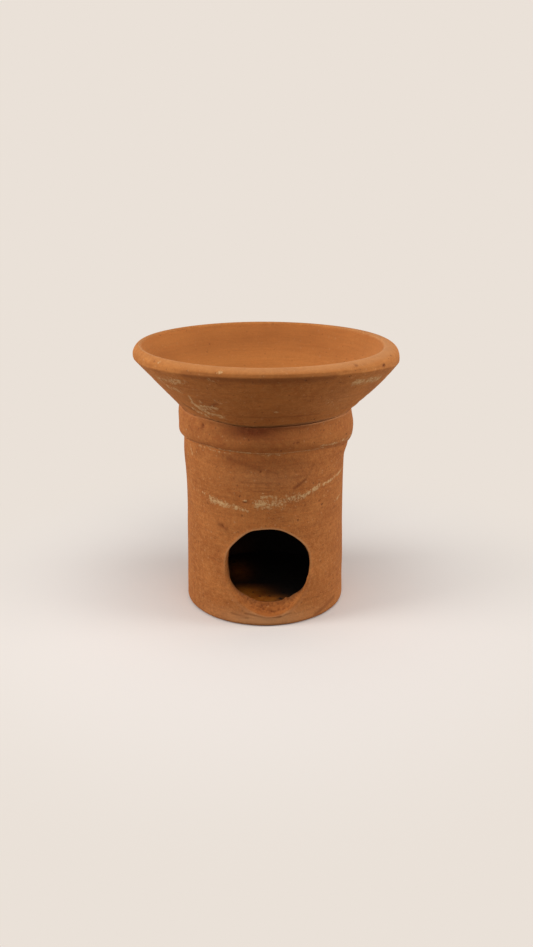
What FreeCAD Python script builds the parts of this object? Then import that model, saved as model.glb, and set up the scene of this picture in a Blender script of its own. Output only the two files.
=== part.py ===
import FreeCAD, Part
import math
import os

# A small hand-thrown terracotta burner: a round stand with a window, closed below by a floor, a collar
# rolled round its mouth, and a flared dish that drops into the collar and lifts straight off.
# Millimetres, +Z up. The origin is the middle of the foot, on the surface the stand rests on, and the
# window faces -Y. Every piece is turned about the Z axis.

# The stand: a thrown wall, widest at the foot and gently waisted
STAND_H = 104.0  # table to the wall's top
MOUTH_R = 44.8  # outside radius at the wall's top
FOOT_SPREAD = 0.6  # how much wider it is at the table than at the mouth
WAIST = 0.7  # how far its middle lies inside the straight line from foot to mouth
WALL = 6.0  # wall thickness at the mouth; the bore is straight
FOOT_ROUND = 2.5  # rounding of the outer edge of the foot
FLOOR_T = 9.0  # clay floor inside the wall
FLOOR_CHAMFER = 1.5  # softened edge of the floor's top, where the slip was wiped

# The window: a level round hole through the front wall, its sill wiped down outwards with a wet finger
WINDOW_R = 22.2  # radius of the hole
SILL_UP = 3.8  # height of the hole's lowest line above the floor
SILL_START = 0.3  # how far below that line the sill already lies at the chamber's edge
SILL_DROP = 4.2  # how far the sill falls on its way out through the wall
SILL_TIGHTER = 1.7  # how much smaller the radius of the wiped hollow is than the window's

# The collar: a coil luted over the wall's top and down its outside
COLLAR_OUT = 3.6  # how far it stands out from the mouth where it is widest
COLLAR_SKIRT = 6.5  # how far it reaches down below the wall's top
COLLAR_WIDEST = 0.5  # how far below the wall's top it is widest
COLLAR_RISE = 9.3  # how far it stands above the wall's top
COLLAR_UNDER_SWELL = 1.2  # roundness of its underside, from the wall out to the widest ring
COLLAR_SIDE_SWELL = 0.2  # roundness of its side, from the widest ring up to the lip
COLLAR_LIP_W = 0.6  # width of the thin lip pressed against the dish

# The dish: a cone with a thick rounded rim, standing loose in the collar
DISH_H = 35.2  # collar lip to the top of the rim
NECK_OUT = 1.2  # how much wider than the mouth the cone is where it leaves the collar
RIM_R = 72.6  # outside radius of the rim, the widest place, at its lower edge
RIM_H = 5.4  # height of the rim above its lower edge
RIM_STEP = 0.5  # how far the rim's lower edge stands out from the cone
RIM_UNDERCUT = 0.6  # height of the slope under the rim
RIM_CREST_IN = 5.6  # how far inside the widest place the rim is highest
RIM_SHOULDER = 1.2  # how far the rim's outer face swells past the straight line up to the crest
LIP_IN = 2.2  # how far inside the crest the rim's rounded top ends
LIP_DOWN = 1.4  # how far below the crest it ends
LIP_ROUND = 0.4  # how far that stretch swells past the straight line
DISH_FLOOR_T = 8.6  # clay under the dish's floor
DISH_WALL = 7.6  # clay between the cone and the bowl at the bowl's floor, measured along a radius
BOWL_SWELL = 2.2  # how far the inner wall bellies out from a straight cone
BOWL_ROUND = 10.0  # rounding between the inner wall and the floor
DISH_FOOT_ROUND = 0.8  # rounding of the lower edge, inside the collar

# Clearance between the loose dish and what it stands in, at right angles to the faces
SEAT_GAP = 0.3

# Worked out from the values above
FOOT_R = MOUTH_R + FOOT_SPREAD
WINDOW_Z = FLOOR_T + SILL_UP + WINDOW_R
SILL_R = WINDOW_R - SILL_TIGHTER
COLLAR_R = MOUTH_R + COLLAR_OUT
NECK_R = MOUTH_R + NECK_OUT
LIP_Z = STAND_H + COLLAR_RISE
RIM_Z = LIP_Z + DISH_H
BORE_R = MOUTH_R - WALL
DISH_FOOT_Z = STAND_H + SEAT_GAP
BOWL_FLOOR_Z = DISH_FOOT_Z + DISH_FLOOR_T
RIM_FOOT_Z = RIM_Z - RIM_H
CONE_TOP_Z = RIM_FOOT_Z - RIM_UNDERCUT
FLARE = (RIM_R - RIM_STEP - NECK_R) / (CONE_TOP_Z - LIP_Z)  # radius gained per millimetre of height
SEAT_GAP_R = SEAT_GAP * math.hypot(1, FLARE)  # the same clearance measured along a radius


def cone_r(z):
    """Outside radius of the dish's cone at a height."""
    return NECK_R + FLARE * (z - LIP_Z)


def at(r, z):
    """A point of a turned outline."""
    return FreeCAD.Vector(r, 0, z)


def line(a, b):
    return Part.LineSegment(at(*a), at(*b)).toShape()


def arc(a, through, b):
    return Part.Arc(at(*a), at(*through), at(*b)).toShape()


def swell(a, b, out):
    """The point out to the right of the middle of the straight line from a to b."""
    run, rise = b[0] - a[0], b[1] - a[1]
    long = math.hypot(run, rise)
    return (a[0] + b[0]) / 2 + out * rise / long, (a[1] + b[1]) / 2 - out * run / long


def swelling(a, b, out):
    """The arc from a to b that swells to the right by out."""
    return arc(a, swell(a, b, out), b)


def wall_arc():
    """The outer line of the stand's wall, foot to mouth."""
    foot, mouth = (FOOT_R, 0), (MOUTH_R, STAND_H)
    return swelling(foot, mouth, -WAIST)


def wall_r(z):
    """Outside radius of the stand's wall at a height."""
    bend = wall_arc().Curve
    return bend.Center.x - math.sqrt(bend.Radius**2 - (z - bend.Center.z) ** 2)


def turned(edges):
    """The solid that a closed outline sweeps in one turn about the Z axis."""
    face = Part.Face(Part.Wire(edges))
    return face.revolve(FreeCAD.Vector(0, 0, 0), FreeCAD.Vector(0, 0, 1), 360)


def chain(*points):
    """Straight edges from point to point."""
    return [line(a, b) for a, b in zip(points, points[1:])]


def ring_edges(solid, r, z):
    """The solid's round edges of this radius at this height."""
    def matches(edge):
        curve = edge.Curve
        return (
            isinstance(curve, Part.Circle)
            and abs(curve.Radius - r) < 0.01
            and abs(curve.Center.z - z) < 0.01
        )
    return [edge for edge in solid.Edges if matches(edge)]


def window_cutters():
    """The level hole, and a second one of SILL_R that falls outwards and hollows the sill."""
    outwards = FreeCAD.Vector(0, -1, 0)
    hole = Part.makeCylinder(WINDOW_R, MOUTH_R + WALL, FreeCAD.Vector(0, 0, WINDOW_Z), outwards)
    # the sill's lowest line runs from the chamber's edge out to the wall's face
    sill_in = FreeCAD.Vector(0, -BORE_R, FLOOR_T + SILL_UP - SILL_START)
    fall = FreeCAD.Vector(0, BORE_R - wall_r(0), -SILL_DROP).normalize()
    square_up = FreeCAD.Vector(0, fall.z, -fall.y)
    middle = sill_in + square_up * SILL_R
    sill = Part.makeCylinder(SILL_R, 4 * WALL, middle - fall * WALL, fall)
    return hole, sill


def make_stand_wall():
    inside = chain((MOUTH_R, STAND_H), (BORE_R, STAND_H), (BORE_R, 0), (FOOT_R, 0))
    wall = turned([wall_arc()] + inside)
    wall = wall.makeFillet(FOOT_ROUND, ring_edges(wall, FOOT_R, 0))
    for cutter in window_cutters():
        wall = wall.cut(cutter)
    return wall


def make_floor_disc():
    disc = Part.makeCylinder(BORE_R, FLOOR_T)
    return disc.makeChamfer(FLOOR_CHAMFER, ring_edges(disc, BORE_R, FLOOR_T))


def make_collar_band():
    skirt_z, skirt_middle = STAND_H - COLLAR_SKIRT, STAND_H - COLLAR_SKIRT / 2
    foot = (wall_r(skirt_z), skirt_z)
    widest = (COLLAR_R, STAND_H - COLLAR_WIDEST)
    seat_top = (cone_r(LIP_Z) + SEAT_GAP_R, LIP_Z)
    seat_foot = (cone_r(STAND_H) + SEAT_GAP_R, STAND_H)
    lip = (seat_top[0] + COLLAR_LIP_W, LIP_Z)
    mouth = (MOUTH_R, STAND_H)
    edges = [swelling(foot, widest, COLLAR_UNDER_SWELL), swelling(widest, lip, COLLAR_SIDE_SWELL)]
    edges += chain(lip, seat_top, seat_foot, mouth)
    edges += [arc(mouth, (wall_r(skirt_middle), skirt_middle), foot)]
    return turned(edges)


def make_dish():
    foot = (cone_r(DISH_FOOT_Z), DISH_FOOT_Z)
    cone_top = (RIM_R - RIM_STEP, CONE_TOP_Z)
    rim_foot = (RIM_R, RIM_FOOT_Z)
    crest = (RIM_R - RIM_CREST_IN, RIM_Z)
    lip = (crest[0] - LIP_IN, RIM_Z - LIP_DOWN)
    floor_edge = (cone_r(BOWL_FLOOR_Z) - DISH_WALL, BOWL_FLOOR_Z)
    edges = chain((0, BOWL_FLOOR_Z), (0, DISH_FOOT_Z), foot, cone_top, rim_foot)
    edges += [swelling(rim_foot, crest, RIM_SHOULDER), swelling(crest, lip, LIP_ROUND)]
    edges += [swelling(lip, floor_edge, -BOWL_SWELL), line(floor_edge, (0, BOWL_FLOOR_Z))]
    dish = turned(edges)
    dish = dish.makeFillet(BOWL_ROUND, ring_edges(dish, *floor_edge))
    return dish.makeFillet(DISH_FOOT_ROUND, ring_edges(dish, *foot))


PIECES = {
    "stand_wall": make_stand_wall,
    "floor_disc": make_floor_disc,
    "collar_band": make_collar_band,
    "dish": make_dish,
}

os.makedirs("parts", exist_ok=True)
for node, make in PIECES.items():
    make().exportStep(f"parts/{node}.step")
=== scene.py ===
import bpy
import numpy as np
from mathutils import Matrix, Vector


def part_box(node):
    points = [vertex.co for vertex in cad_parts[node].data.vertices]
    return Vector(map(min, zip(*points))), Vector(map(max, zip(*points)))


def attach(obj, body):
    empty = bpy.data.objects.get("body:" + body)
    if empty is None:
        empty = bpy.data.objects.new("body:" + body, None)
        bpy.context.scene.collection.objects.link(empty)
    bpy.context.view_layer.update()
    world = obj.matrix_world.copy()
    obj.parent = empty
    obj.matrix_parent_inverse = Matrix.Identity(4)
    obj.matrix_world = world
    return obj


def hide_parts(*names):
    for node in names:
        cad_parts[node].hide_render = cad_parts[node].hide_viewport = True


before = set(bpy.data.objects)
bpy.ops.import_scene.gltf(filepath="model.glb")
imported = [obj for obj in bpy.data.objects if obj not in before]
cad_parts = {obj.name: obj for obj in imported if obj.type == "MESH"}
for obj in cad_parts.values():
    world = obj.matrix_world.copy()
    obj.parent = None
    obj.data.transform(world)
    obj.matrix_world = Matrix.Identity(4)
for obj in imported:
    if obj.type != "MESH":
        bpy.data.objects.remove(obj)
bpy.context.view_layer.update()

# ---------------------------------------------------------------------------------------------------
# The stand's wall: red earthenware thrown on a wheel as an open tube, its window cut by hand while the
# clay was leather hard and its sill wiped down with a wet finger. Everything else is built on it.

MM = 0.001  # this file's lengths are millimetres until a mesh is made

WALL_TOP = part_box("stand_wall")[1].z / MM
FOOT_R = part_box("stand_wall")[1].x / MM
BORE_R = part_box("floor_disc")[1].x / MM
FLOOR_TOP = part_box("floor_disc")[1].z / MM
COLLAR_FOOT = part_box("collar_band")[0].z / MM
COLLAR_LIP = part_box("collar_band")[1].z / MM

WALL_TAPER = 0.6  # how much narrower the wall is at its mouth than at its foot
WALL_WAIST = 0.7  # how far its middle is drawn in
FOOT_ROUND = 2.2  # rounding of the foot's outer edge
STAND_LEAN = -1.25  # the stand's axis lies this far to the left of the dish's

COLUMNS = 360  # quads round the wall, each about 0.8 mm wide
ROW = 0.88  # height of a row of quads


def lean(height):
    """How far the axis has moved to the right at a height: the collar leads it back under the dish."""
    return np.interp(height, (COLLAR_FOOT, COLLAR_LIP), (STAND_LEAN, 0.0))


def spread(value, middle, half):
    """A soft bump of height 1 round the middle, about 0.37 at half."""
    return np.exp(-(((value - middle) / half) ** 2))


def spread_round(degrees, middle, half):
    """The same bump on a circle, where 180 and -180 degrees meet."""
    return spread((degrees - middle + 180.0) % 360.0 - 180.0, 0.0, half)


def swellings(angle, height, spots):
    """The sum of soft swellings, each (degrees to the right of the front, height, half widths of both, size)."""
    degrees = np.degrees(angle)
    total = np.zeros_like(degrees + height)
    for at, up, wide, tall, size in spots:
        total += size * spread_round(degrees, at, wide) * spread(height, up, tall)
    return total


def ring_swellings(angle, spots):
    """The sum at one angle of swellings that run all the way up, each (degrees, half width, size)."""
    return float(swellings(angle, 0.0, [(at, 0.0, wide, 1.0, size) for at, wide, size in spots]))


def wobble(angle, height, seed, size):
    """The slow unevenness of a thrown pot: a few waves round it that turn a little on their way up."""
    drift = 0.03  # radians per millimetre
    chance = np.random.default_rng(seed)
    total = np.zeros_like(angle + height)
    for turns in (2, 3, 4, 5, 7, 9):
        start, turn = chance.uniform(0, 2 * np.pi), chance.uniform(-drift, drift)
        total += chance.uniform(0.5, 1.0) / turns * np.cos(turns * angle + start + turn * height)
    return size * total


def lumps(angle, height, seed, size, pitch):
    """Finger-sized unevenness: crossed waves of about this pitch in millimetres, never in step."""
    chance = np.random.default_rng(seed)
    total = np.zeros_like(angle + height)
    for _ in range(14):
        turns = chance.integers(3, int(2 * np.pi * FOOT_R / pitch))
        rise = chance.uniform(-1.0, 1.0) * 2 * np.pi / pitch
        total += np.cos(turns * angle + rise * height + chance.uniform(0, 2 * np.pi))
    return size * total / 4.0


def columns_round(count):
    """The angles of this many columns, evenly round the axis from the back."""
    return -np.pi + 2 * np.pi * np.arange(count) / count


def place(angle, height, radius, shift):
    """Points at these angles, heights and radii round an axis moved to the right by shift."""
    return np.stack([shift + radius * np.sin(angle), -radius * np.cos(angle), height], axis=-1)


WALL_SPOTS = (  # where the real wall is fuller or thinner than a true tube
    (-92, 88, 40, 9, 0.75),
    (86, 94, 32, 5, 1.9),
    (-92, 62, 45, 14, -0.25),
    (88, 30, 30, 12, 0.35),
    (150, 50, 40, 22, 0.5),
)
PIT_SPOTS = (  # small hollows left by grit dragged out of the clay, each about 1.5 mm wide
    (-32.5, 56.4, 1.5, 1.1, -0.5), (26.4, 68.6, 1.1, 0.9, -0.4), (39.4, 69.2, 1.2, 0.9, -0.4),
    (-4.8, 88.8, 1.1, 0.7, -0.35), (18.3, 88.4, 1.1, 0.8, -0.4), (-62, 40, 1.2, 1, -0.4),
    (52, 52, 1, 0.9, -0.35), (-110, 70, 1.4, 1, -0.45), (100, 38, 1.3, 1.2, -0.45),
    (160, 66, 1.2, 0.9, -0.4), (-150, 30, 1.4, 1.1, -0.5), (128, 84, 1.1, 0.8, -0.35),
)
CRUMB_SPOTS = (  # and crumbs of clay pushed up beside them
    (-33, 58, 1.9, 0.5, 0.45), (-30, 55.6, 0.8, 0.8, 0.35), (26.8, 69.9, 1.2, 0.45, 0.35),
    (-15.6, 72.7, 1.2, 0.7, 0.8), (18.6, 89.4, 1, 0.4, 0.3), (-61.6, 41.2, 1.3, 0.5, 0.35),
    (40.4, 60.5, 0.8, 0.6, 0.3), (-22, 79.5, 0.8, 0.5, 0.3), (47, 40, 0.9, 0.6, 0.35),
    (99, 39.4, 1.3, 0.6, 0.35), (-109, 71.2, 1.4, 0.5, 0.4), (161, 67.2, 1.1, 0.5, 0.35),
)

WINDOW_Z = 35.0  # height of the window's middle
WINDOW_LEFT, WINDOW_RIGHT = 24.3, 24.6  # from its middle to its sides, along the outer face
WINDOW_UP, WINDOW_DOWN = 21.7, 27.0  # up to its top, and down to where the wiped sill meets the outer face
INNER_LEFT, INNER_RIGHT = 22.3, 26.0  # the same inside, along the bore: the knife went in on a slant
INNER_UP, INNER_DOWN = 21.5, 22.4
INNER_FULL = 2.5  # how square the lower half is inside, where an ellipse is 2
CUT_ROUND = 0.35  # rounding of the cut edges
SILL_ROUND = 1.7  # and of the wiped sill's edges
OUTER_STRAYS = (  # where the knife strayed from its round outside: (degrees from due right, half width, size)
    (144, 20, -0.8), (114, 10, 0.4), (40, 24, -0.9), (-55, 20, 0.5), (-82, 16, 1),
    (-122, 16, -0.5), (-160, 13, 0.9),
)
INNER_STRAYS = ((-122.0, 12.0, -1.3), (-33.0, 16.0, 0.4), (-150.0, 9.0, 0.3))
RIDGE = 0.28  # height of the ridge of clay under the wiped sill
BURR_FROM = 12.0  # the knife's burr was wiped away below this height
FACE_LIMIT = 1.0  # no lump stands out further than this past the foot


def window_line(turn, sides, tall, full, strays, seed):
    """Distance from the window's middle to its cut edge, by the turn from due right."""
    across = np.where(np.cos(turn) > 0, sides[1], sides[0])
    up = np.where(np.sin(turn) > 0, tall[0], tall[1])
    full = np.where(np.sin(turn) > 0, 2.0, full)
    line = (np.abs(np.cos(turn) / across) ** full + np.abs(np.sin(turn) / up) ** full) ** (-1 / full)
    for at, half, size in strays:
        line = line + size * spread_round(np.degrees(turn), at, half)
    chance = np.random.default_rng(seed)
    for waves in (5, 8, 13, 29):  # the knife's small unsteadiness
        size = 0.3 / waves**0.7 * chance.uniform(0.4, 1.0)
        line = line + size * np.cos(waves * turn + chance.uniform(0, 6.28))
    return line


def outer_line(turn):
    """The cut edge on the wall's outer face."""
    return window_line(turn, (WINDOW_LEFT, WINDOW_RIGHT), (WINDOW_UP, WINDOW_DOWN), 2.0, OUTER_STRAYS, 5)


def inner_line(turn):
    """The cut edge on the bore."""
    return window_line(turn, (INNER_LEFT, INNER_RIGHT), (INNER_UP, INNER_DOWN), INNER_FULL, INNER_STRAYS, 8)


def edge_round(turn):
    """Rounding of the cut's edges: sharp from the knife, soft where the sill was wiped."""
    return CUT_ROUND + (SILL_ROUND - CUT_ROUND) * spread(np.degrees(turn), -88.0, 46.0)


def from_window(angle, height, radius):
    """Turn and distance of points on the outer face from the window's middle."""
    along, up = angle * radius, height - WINDOW_Z
    return np.arctan2(up, along), np.hypot(along, up)


def wall_face(angle, height):
    """Radius of the wall's outer face."""
    t = height / WALL_TOP
    radius = FOOT_R - WALL_TAPER * t - 4 * WALL_WAIST * t * (1 - t)
    low = np.clip(FOOT_ROUND - height, 0, FOOT_ROUND)
    radius = radius - (FOOT_ROUND - np.sqrt(np.maximum(FOOT_ROUND**2 - low**2, 0)))
    radius = radius + wobble(angle, height, 11, 0.16) + lumps(angle, height, 12, 0.045, 13.0)
    radius = radius + swellings(angle, height, WALL_SPOTS + PIT_SPOTS + CRUMB_SPOTS)
    # clay pushed up round the cut by the knife, most at the upper left, and a ridge under the wiped sill
    turn, away = from_window(angle, height, FOOT_R)
    gap, turned = away - outer_line(turn), np.degrees(turn)
    burr = 0.12 + 0.25 * spread(turned, 140.0, 45.0) + 0.2 * spread(turned, 0.0, 40.0)
    burr = burr * (1 + 0.5 * np.cos(11 * turn + 1) * np.cos(17 * turn))
    radius = radius + burr * spread(gap, 0.8, 1.0) * (height > BURR_FROM)
    radius = radius + RIDGE * spread(gap, 1.9, 0.8) * spread(turned, -86.0, 34.0)
    # a lump beside the window, low on its right
    radius = radius + 0.5 * spread(turned, -20.0, 9.0) * spread(gap, 1.2, 1.1)
    return np.minimum(radius, FOOT_R + FACE_LIMIT)


def bore_face(angle, height):
    """Radius of the wall's inner face: ribbed by the thrower's fingers above the floor."""
    ribs = 0.07 * np.sin(height * 2 * np.pi / 7.5 + angle) * np.clip((height - FLOOR_TOP) / 6, 0, 1)
    return BORE_R + 0.05 + ribs + wobble(angle, height, 13, 0.1)


def join_heights():
    """Heights of the wall's rows: close together round the foot's rounding, then even."""
    arc = FOOT_ROUND * (1 - np.cos(np.radians(np.arange(0, 90, 18))))
    rows = int((WALL_TOP - FOOT_ROUND) / ROW)
    return np.concatenate([arc, np.linspace(FOOT_ROUND, WALL_TOP, rows)])


BLOCK_COLUMNS = 46  # columns each side of the front that give way to rings round the window
BLOCK_LOW, BLOCK_HIGH = 5.2, 70.0  # and the heights between which they do
RINGS = 29


def holed_sheet(heights, line, side_radius):
    """A sheet round the axis with the window in it: its points' angles and heights, and its quads.

    Then the indexes and turns of the window's edge, and the indexes of the sheet's foot and mouth. Away from
    the window it is a grid. Round it the grid's block gives way to rings that close in on the cut's line.
    """
    count = len(heights)
    angles = columns_round(COLUMNS)
    left, right = COLUMNS // 2 - BLOCK_COLUMNS, COLUMNS // 2 + BLOCK_COLUMNS
    low, high = np.searchsorted(heights, BLOCK_LOW), np.searchsorted(heights, BLOCK_HIGH)
    keep = np.ones((COLUMNS, count), bool)
    keep[left + 1:right, low + 1:high] = False
    index = np.full((COLUMNS, count), -1)
    index[keep] = np.arange(keep.sum())
    column, row = np.nonzero(keep)
    angle, height = angles[column], heights[row]
    quads = []
    for j in range(COLUMNS):
        after = (j + 1) % COLUMNS
        for k in range(count - 1):
            if not (left <= j < right and low <= k < high):
                quads.append((index[j, k], index[after, k], index[after, k + 1], index[j, k + 1]))
    border = [index[j, low] for j in range(left, right)] + [index[right, k] for k in range(low, high)]
    border += [index[j, high] for j in range(right, left, -1)] + [index[left, k] for k in range(high, low, -1)]
    border = np.array(border)
    along, up = angle[border] * side_radius, height[border] - WINDOW_Z
    turn = np.arctan2(up, along)
    reach = line(turn) + edge_round(turn)
    ring = border
    for step in range(1, RINGS + 1):
        share = 1 - (1 - step / RINGS) ** 1.6
        near_along = along + (reach * np.cos(turn) - along) * share
        near_up = up + (reach * np.sin(turn) - up) * share
        new = len(angle) + np.arange(len(border))
        angle = np.concatenate([angle, near_along / side_radius])
        height = np.concatenate([height, near_up + WINDOW_Z])
        quads += list(zip(ring, np.roll(ring, -1), np.roll(new, -1), new))
        ring = new
    return angle, height, quads, ring, turn, index[:, 0], index[:, -1]


SHARP_FROM = 55.0  # degrees between faces at which an edge shows as one


def smooth_mesh(name, points, faces):
    """An object with this mesh, given in millimetres, shaded smooth."""
    mesh = bpy.data.meshes.new(name)
    mesh.from_pydata((np.asarray(points) * MM).tolist(), [], [tuple(int(i) for i in face) for face in faces])
    mesh.validate()
    mesh.shade_smooth()
    mesh.set_sharp_from_angle(angle=np.radians(SHARP_FROM))
    made = bpy.data.objects.new(name, mesh)
    bpy.context.scene.collection.objects.link(made)
    return made


def paint(made, layer, values):
    """Lays a value from 0 to 1 on each point of the mesh, for the material to read."""
    layer = made.data.attributes.new(layer, "FLOAT", "POINT")
    layer.data.foreach_set("value", np.clip(values, 0, 1).astype(np.float32))


def daubs(angle, height, radius, strokes):
    """How strongly strokes cover each point; a stroke is (degrees, height) twice, its half width and strength."""
    cover = np.zeros_like(angle + height)
    along = angle * radius
    for from_at, from_up, to_at, to_up, half, strength in strokes:
        a = np.array([np.radians(from_at) * radius, from_up])
        run = np.array([np.radians(to_at) * radius, to_up]) - a
        share = np.clip(((along - a[0]) * run[0] + (height - a[1]) * run[1]) / max(run @ run, 1e-9), 0, 1)
        gap = np.hypot(along - a[0] - share * run[0], height - a[1] - share * run[1])
        cover = np.maximum(cover, strength * spread(gap, 0.0, half))
    return cover


WALL_LIME = (  # lime drawn out of the clay as it dried, a broken band round the middle of the wall
    (-68, 73, -48, 72, 2, 0.5),
    (-43, 69.8, -35, 69.4, 3.1, 0.87),
    (-34, 69, -25, 68.4, 2.4, 0.85),
    (-22.5, 68.3, -14.5, 67, 1.7, 0.94),
    (-16.2, 72.8, -15, 72.4, 0.9, 0.95),
    (-6.5, 71, 8, 71.6, 4.2, 0.87),
    (-4, 74.6, 6, 74.8, 1.8, 0.86),
    (9, 73, 21, 73.4, 3.9, 0.84),
    (25, 74, 39, 78, 1.9, 0.91),
    (41, 77.4, 68, 80, 1.1, 0.88),
    (58, 64, 69, 66, 1.2, 0.84),
    (-3, 77.2, -1.5, 76.8, 0.8, 0.7),
    (2.6, 79.2, 3.8, 79, 0.6, 0.75),
    (66, 79.5, 110, 84, 1.2, 0.7),
    (-100, 76, -140, 79, 2.4, 0.75),
    (150, 80, 178, 77, 3.4, 0.85),
    (-73, 94.5, -70, 90, 0.7, 0.95), (-66, 95.5, -62, 92.5, 0.6, 0.85), (-57, 94, -55, 91.6, 0.6, 0.7),
    (-66, 96, -62.5, 91.6, 0.8, 1), (-54, 98.4, -26, 97.8, 0.7, 0.84), (-6, 97.6, 10, 97.5, 0.5, 0.8),
    (-41, 27.4, -40, 27.4, 0.5, 0.7),
    (-67, 38, -66, 38.5, 0.6, 0.4),
)
WALL_DARK = (  # where the fire or a wet hand left the clay darker, and painted shade under the collar at the front
    (-27, 95, -5, 90.5, 1.8, 0.5),
    # painted shade: a wide soft band under the collar at the front
    (-24, 93.5, 24, 92.5, 5, 0.26),
    (-18, 82.6, 6, 82.2, 0.35, 0.4), (-8, 80.4, 15, 80.1, 0.3, 0.35), (-30, 84.6, -6, 84.9, 0.3, 0.35),
    (10, 85.5, 30, 85.2, 0.3, 0.3), (-14, 78.3, 2, 78.1, 0.3, 0.35),
    (-4, 90.5, 6, 88, 1.4, 0.4),
    (18.5, 79, 26.5, 83, 0.75, 0.75),
    (26.5, 83, 33, 90, 0.9, 0.3),
    # painted shade under the collar, right of the front
    (14, 92, 24, 90, 3.2, 0.25),
    (0, 6.1, 9, 5.9, 0.7, 0.9), (-16, 7.4, 0, 5.8, 0.6, 0.55), (9, 6, 16, 7.2, 0.5, 0.4),
    (-36, 57, -30, 55, 1.2, 0.5),
    (36, 2.6, 58, 7, 1.1, 0.5),
    (-26, 6.5, -14, 5, 0.6, 0.5),
    # darker in the pits
    (-4.9, 88.8, -4.6, 88.7, 0.45, 1), (18.2, 88.4, 18.5, 88.3, 0.45, 1), (26.3, 68.6, 26.6, 68.5, 0.45, 0.9),
    (39.3, 69.2, 39.6, 69.1, 0.45, 0.9), (52, 52, 52.3, 51.9, 0.45, 0.9), (-46.4, 67.4, -46, 67.4, 0.4, 0.8),
    (41.5, 64.5, 41.8, 64.4, 0.4, 0.8), (50.5, 57.2, 50.8, 57.1, 0.4, 0.8), (-33.6, 57, -31.8, 55.6, 0.4, 0.9),
    (22.8, 89.6, 24.2, 87.8, 0.4, 0.6), (-16.6, 71.9, -14.8, 71.7, 0.4, 0.9),
)

heights = join_heights()
out_angle, out_height, out_quads, out_ring, out_turn, out_foot, out_mouth = holed_sheet(heights, outer_line, FOOT_R)
in_angle, in_height, in_quads, in_ring, in_turn, in_foot, in_mouth = holed_sheet(heights, inner_line, BORE_R)
points = [
    place(out_angle, out_height, wall_face(out_angle, out_height), lean(out_height)),
    place(in_angle, in_height, bore_face(in_angle, in_height), lean(in_height)),
]
first_in = len(out_angle)
faces = out_quads + [tuple(first_in + i for i in reversed(quad)) for quad in in_quads]
for out_rim, in_rim, flip in ((out_foot, in_foot, True), (out_mouth, in_mouth, False)):
    for j in range(COLUMNS):
        after = (j + 1) % COLUMNS
        quad = (out_rim[j], out_rim[after], first_in + in_rim[after], first_in + in_rim[j])
        faces.append(tuple(reversed(quad)) if flip else quad)

CUT_ROWS = 11  # steps across the cut between its rounded edges
BENDS = (30, 60, 90)  # degrees at which each rounded edge has a ring
SILL_CRUMBS = (  # clay rolled up by the wiping finger: (turn, how far in of 1, half width in degrees, size)
    (-75, 0.75, 1.8, 0.45), (-98, 0.55, 2.2, 0.4), (-110, 0.8, 1.8, 0.45), (-60, 0.45, 1.8, 0.45),
    (-84, 0.3, 1.6, 0.35), (-67, 0.9, 2, 0.4), (-124, 0.6, 1.8, 0.4), (-91, 0.85, 1.5, 0.35),
    (-48, 0.7, 2, 0.4), (-104, 0.25, 1.8, 0.3),
)


def cut_edge(turn, line, face, radius, bend, inward):
    """One ring of the cut's rounded edge: bend runs from 0 on the face to 90 on the cut."""
    step = line(turn) + edge_round(turn) * (1 - np.sin(np.radians(bend)))
    angle = step * np.cos(turn) / radius
    height = WINDOW_Z + step * np.sin(turn)
    depth = edge_round(turn) * (1 - np.cos(np.radians(bend)))
    return place(angle, height, face(angle, height) + inward * depth, lean(height))


rings = [cut_edge(out_turn, outer_line, wall_face, FOOT_R, bend, -1.0) for bend in BENDS]
last = [cut_edge(in_turn, inner_line, bore_face, BORE_R, bend, 1.0) for bend in reversed(BENDS)]
start, end = rings[-1], last[0]
# the wiping finger left the sill rough, in lumps of about 1.5 mm
rough = np.random.default_rng(9).normal(size=(CUT_ROWS, len(out_turn)))
rough = rough + np.roll(rough, 1, axis=1) + 0.6 * np.roll(rough, 1, axis=0)
out_degrees = np.degrees(out_turn)
sill = spread(out_degrees, -90.0, 38.0)
toward = np.stack([np.cos(out_turn), np.zeros_like(out_turn), np.sin(out_turn)], axis=-1)
for row in range(1, CUT_ROWS):
    share = row / CUT_ROWS
    # the knife dragged grit through the cut; the wiped sill is hollow instead
    drag = 0.12 * np.cos(9 * out_turn + 2.2 * share) + 0.09 * np.cos(23 * out_turn - 5 * share)
    wiped = 0.3 * np.sin(np.pi * share) + 0.10 * np.cos(31 * out_turn + 4 * share)
    push = drag * (1 - sill) + sill * (wiped + 0.15 * rough[row])
    for at, deep, half, size in SILL_CRUMBS:
        push = push - size * spread(out_degrees, at, half) * spread(share, deep, 0.1)
    rings.append(start * (1 - share) + end * share + toward * push[:, None])
rings += last
# a crumb of clay stands on the sill's inner edge, right of the middle, and a step beside it
crumb = 1.3 * spread(np.degrees(in_turn), -66.0, 2.6) + 0.7 * spread(np.degrees(in_turn), -54.0, 6.0)
for ring, share in zip(rings[-5:], (0.3, 0.8, 1.0, 0.7, 0.3)):
    ring[:, 2] += share * crumb
ring_size, ring_count = len(out_ring), len(rings)
base = first_in + len(in_angle)
indexes = [out_ring] + [base + row * ring_size + np.arange(ring_size) for row in range(ring_count)]
indexes.append(first_in + in_ring)
for near, far in zip(indexes, indexes[1:]):
    faces += list(zip(near, np.roll(near, -1), np.roll(far, -1), far))
wall = smooth_mesh("wall_thrown", np.concatenate(points + rings), faces)

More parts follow.
